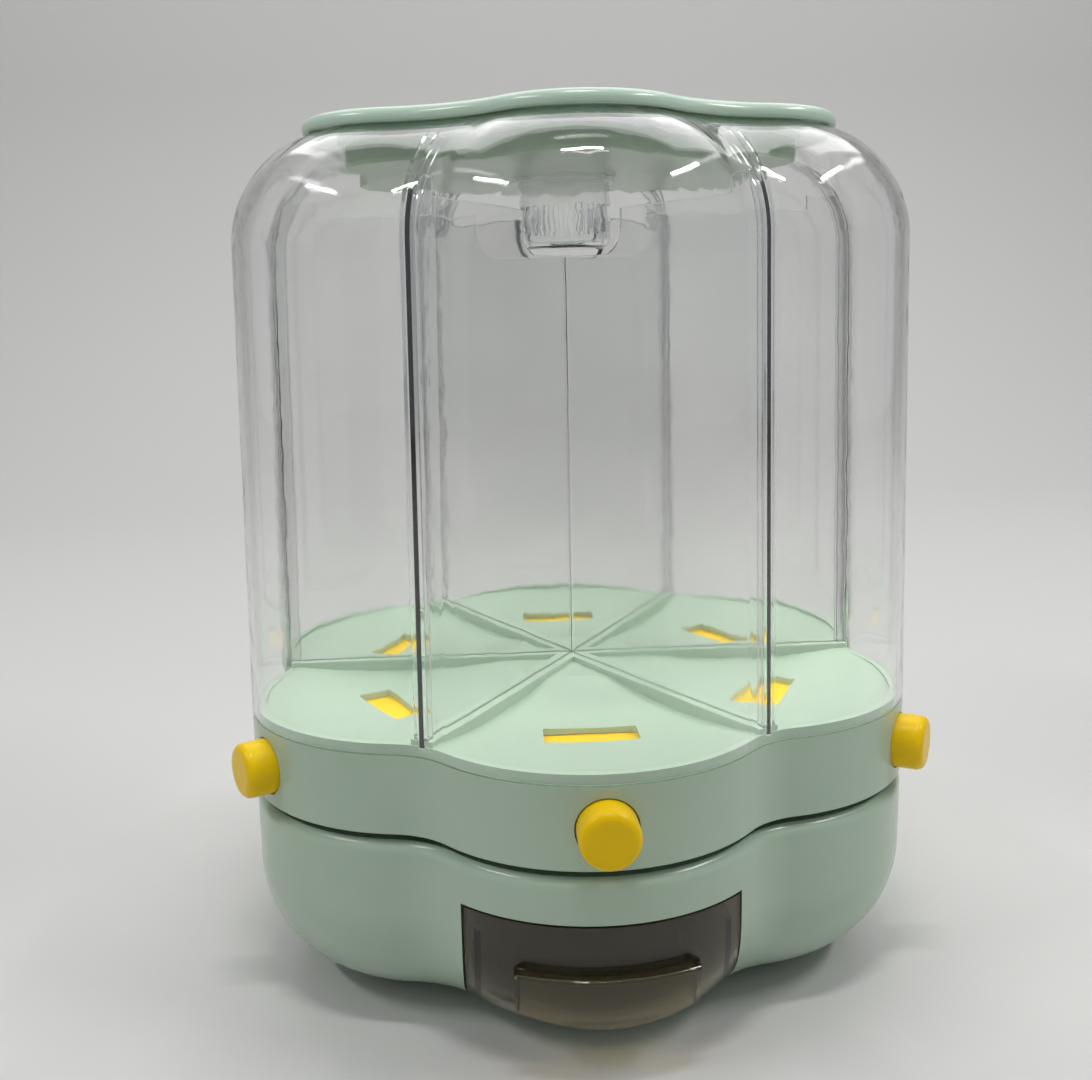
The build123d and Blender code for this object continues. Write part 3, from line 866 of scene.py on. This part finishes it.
@dataclass
class Studio:
    """Floor, backdrop, lamps and camera round the dispenser."""

    LAMPS: ClassVar[tuple[Lamp, ...]] = (
        Lamp("back_softbox", (0.15, 1.0, 1.8), (2.6, 1.3), 18.0),
        Lamp("left_softbox", (-1.25, -0.45, 1.5), (0.7, 0.06), 7.0),
        Lamp("right_softbox", (1.25, -0.25, 1.5), (0.7, 0.06), 9.0),
        Lamp("front_strip", (0.0, -0.35, 1.5), (0.4, 0.04), 5.0),
    )

    lamp_target: Point = (0.0, 0.0, 0.15)
    floor_size: float = 6.0
    floor_back: float = 1.6
    floor_round: float = 0.6
    floor_steps: int = 16
    floor_roughness: float = 0.6
    backdrop_height: float = 3.0
    touch: float = 1e-4
    floor_colour: Colour = (0.66, 0.652, 0.635)
    sky_colour: Colour = (0.92, 0.95, 1.0)
    sky_strength: float = 0.26
    sky_seen: float = 0.42
    camera_place: Point = (-0.0395, -0.4997, 0.2572)
    camera_yaw: float = -3.4
    camera_pitch: float = 11.18
    camera_roll: float = 1.13
    focal_pixels: float = 1225.7
    image_width: float = 1092.0
    sensor: float = 36.0
    near_clip: float = 0.01

    def build(self) -> None:
        """Make the floor, the lamps and the camera."""
        self._floor()
        self._sky()
        for lamp in self.LAMPS:
            lamp.build(self.lamp_target)
        self._camera()

    def _floor(self) -> None:
        """Pale floor that sweeps up into a backdrop."""
        bpy.ops.object.select_all(action="DESELECT")
        middle = (0.0, self.floor_back - self.floor_size / 2, 0.0)
        bpy.ops.mesh.primitive_plane_add(size=self.floor_size, location=middle)
        floor = bpy.context.object
        floor.name = "studio_floor"
        bpy.ops.object.transform_apply(location=True, rotation=True, scale=True)
        bpy.ops.object.mode_set(mode="EDIT")
        bpy.ops.mesh.select_mode(type="EDGE")
        bpy.ops.mesh.select_all(action="DESELECT")
        mesh = bmesh.from_edit_mesh(floor.data)
        for edge in mesh.edges:
            edge.select_set(all(vert.co.y > self.floor_back - self.touch for vert in edge.verts))
        bmesh.update_edit_mesh(floor.data)
        bpy.ops.mesh.extrude_region_move(TRANSFORM_OT_translate={"value": (0.0, 0.0, self.backdrop_height)})
        bpy.ops.mesh.select_all(action="DESELECT")
        mesh = bmesh.from_edit_mesh(floor.data)
        for edge in mesh.edges:
            at_back = all(abs(vert.co.y - self.floor_back) < self.touch for vert in edge.verts)
            edge.select_set(at_back and all(vert.co.z < self.touch for vert in edge.verts))
        bmesh.update_edit_mesh(floor.data)
        bpy.ops.mesh.bevel(offset=self.floor_round, segments=self.floor_steps)
        bpy.ops.object.mode_set(mode="OBJECT")
        bpy.ops.object.shade_smooth()
        material = bpy.data.materials.new("studio_pale")
        material.use_nodes = True
        skin = material.node_tree.nodes["Principled BSDF"]
        skin.inputs["Base Color"].default_value = (*self.floor_colour, 1.0)
        skin.inputs["Roughness"].default_value = self.floor_roughness
        floor.data.materials.append(material)

    def _sky(self) -> None:
        """Even soft light from all round, seen directly and in glass as a pale backdrop."""
        world = bpy.data.worlds.new("studio_sky")
        world.use_nodes = True
        sheet = NodeSheet(world.node_tree)
        background = world.node_tree.nodes["Background"]
        background.inputs["Color"].default_value = (*self.sky_colour, 1.0)
        path = sheet.add("ShaderNodeLightPath")
        seen = path.outputs["Is Camera Ray"]
        for ray in ("Is Transmission Ray", "Is Glossy Ray"):
            seen = sheet.combine("MAXIMUM", seen, path.outputs[ray])
        strength = sheet.remap(seen, 0.0, 1.0, self.sky_strength, self.sky_seen)
        sheet.join(strength, background.inputs["Strength"])
        bpy.context.scene.world = world

    def _camera(self) -> None:
        """Camera at the photograph's place, worked out from its seams."""
        angles = (self.camera_yaw, self.camera_pitch, self.camera_roll)
        yaw, pitch, roll = (math.radians(angle) for angle in angles)
        ahead = Vector((-math.sin(yaw) * math.cos(pitch), math.cos(yaw) * math.cos(pitch), -math.sin(pitch)))
        level = Vector((math.cos(yaw), math.sin(yaw), 0.0))
        down = ahead.cross(level)
        across = math.cos(roll) * level + math.sin(roll) * down
        below = math.cos(roll) * down - math.sin(roll) * level
        turn = Matrix((across, -below, -ahead)).transposed()
        bpy.ops.object.camera_add(location=self.camera_place)
        camera = bpy.context.object
        camera.name = "photo_camera"
        camera.rotation_euler = turn.to_euler()
        camera.data.sensor_fit = "HORIZONTAL"
        camera.data.sensor_width = self.sensor
        camera.data.lens = self.sensor * self.focal_pixels / self.image_width
        camera.data.clip_start = self.near_clip
        bpy.context.scene.camera = camera


def dress_cad(finishes: Finishes) -> None:
    """Give every CAD node the finish of its slot.

    Args:
        finishes: The dispenser's finishes.
    """
    for subpart in frame["record"]["subparts"]:
        node = frame["nodes"][subpart["node"]]
        finishes.dress(node, Slot(subpart["material_slot"]))
        LOG.info("dressed %s in %s", subpart["node"], subpart["material_slot"])


def main() -> None:
    logging.basicConfig(level=logging.INFO, format="%(name)s: %(message)s")
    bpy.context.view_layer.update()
    bpy.context.scene.view_settings.view_transform = "Standard"
    finishes = Finishes()
    dress_cad(finishes)
    finishes.dress_own(frame["nodes"])
    Dividers().build(finishes)
    ReturnSprings().build(finishes)
    Studio().build()


if __name__ == "__main__":
    main()
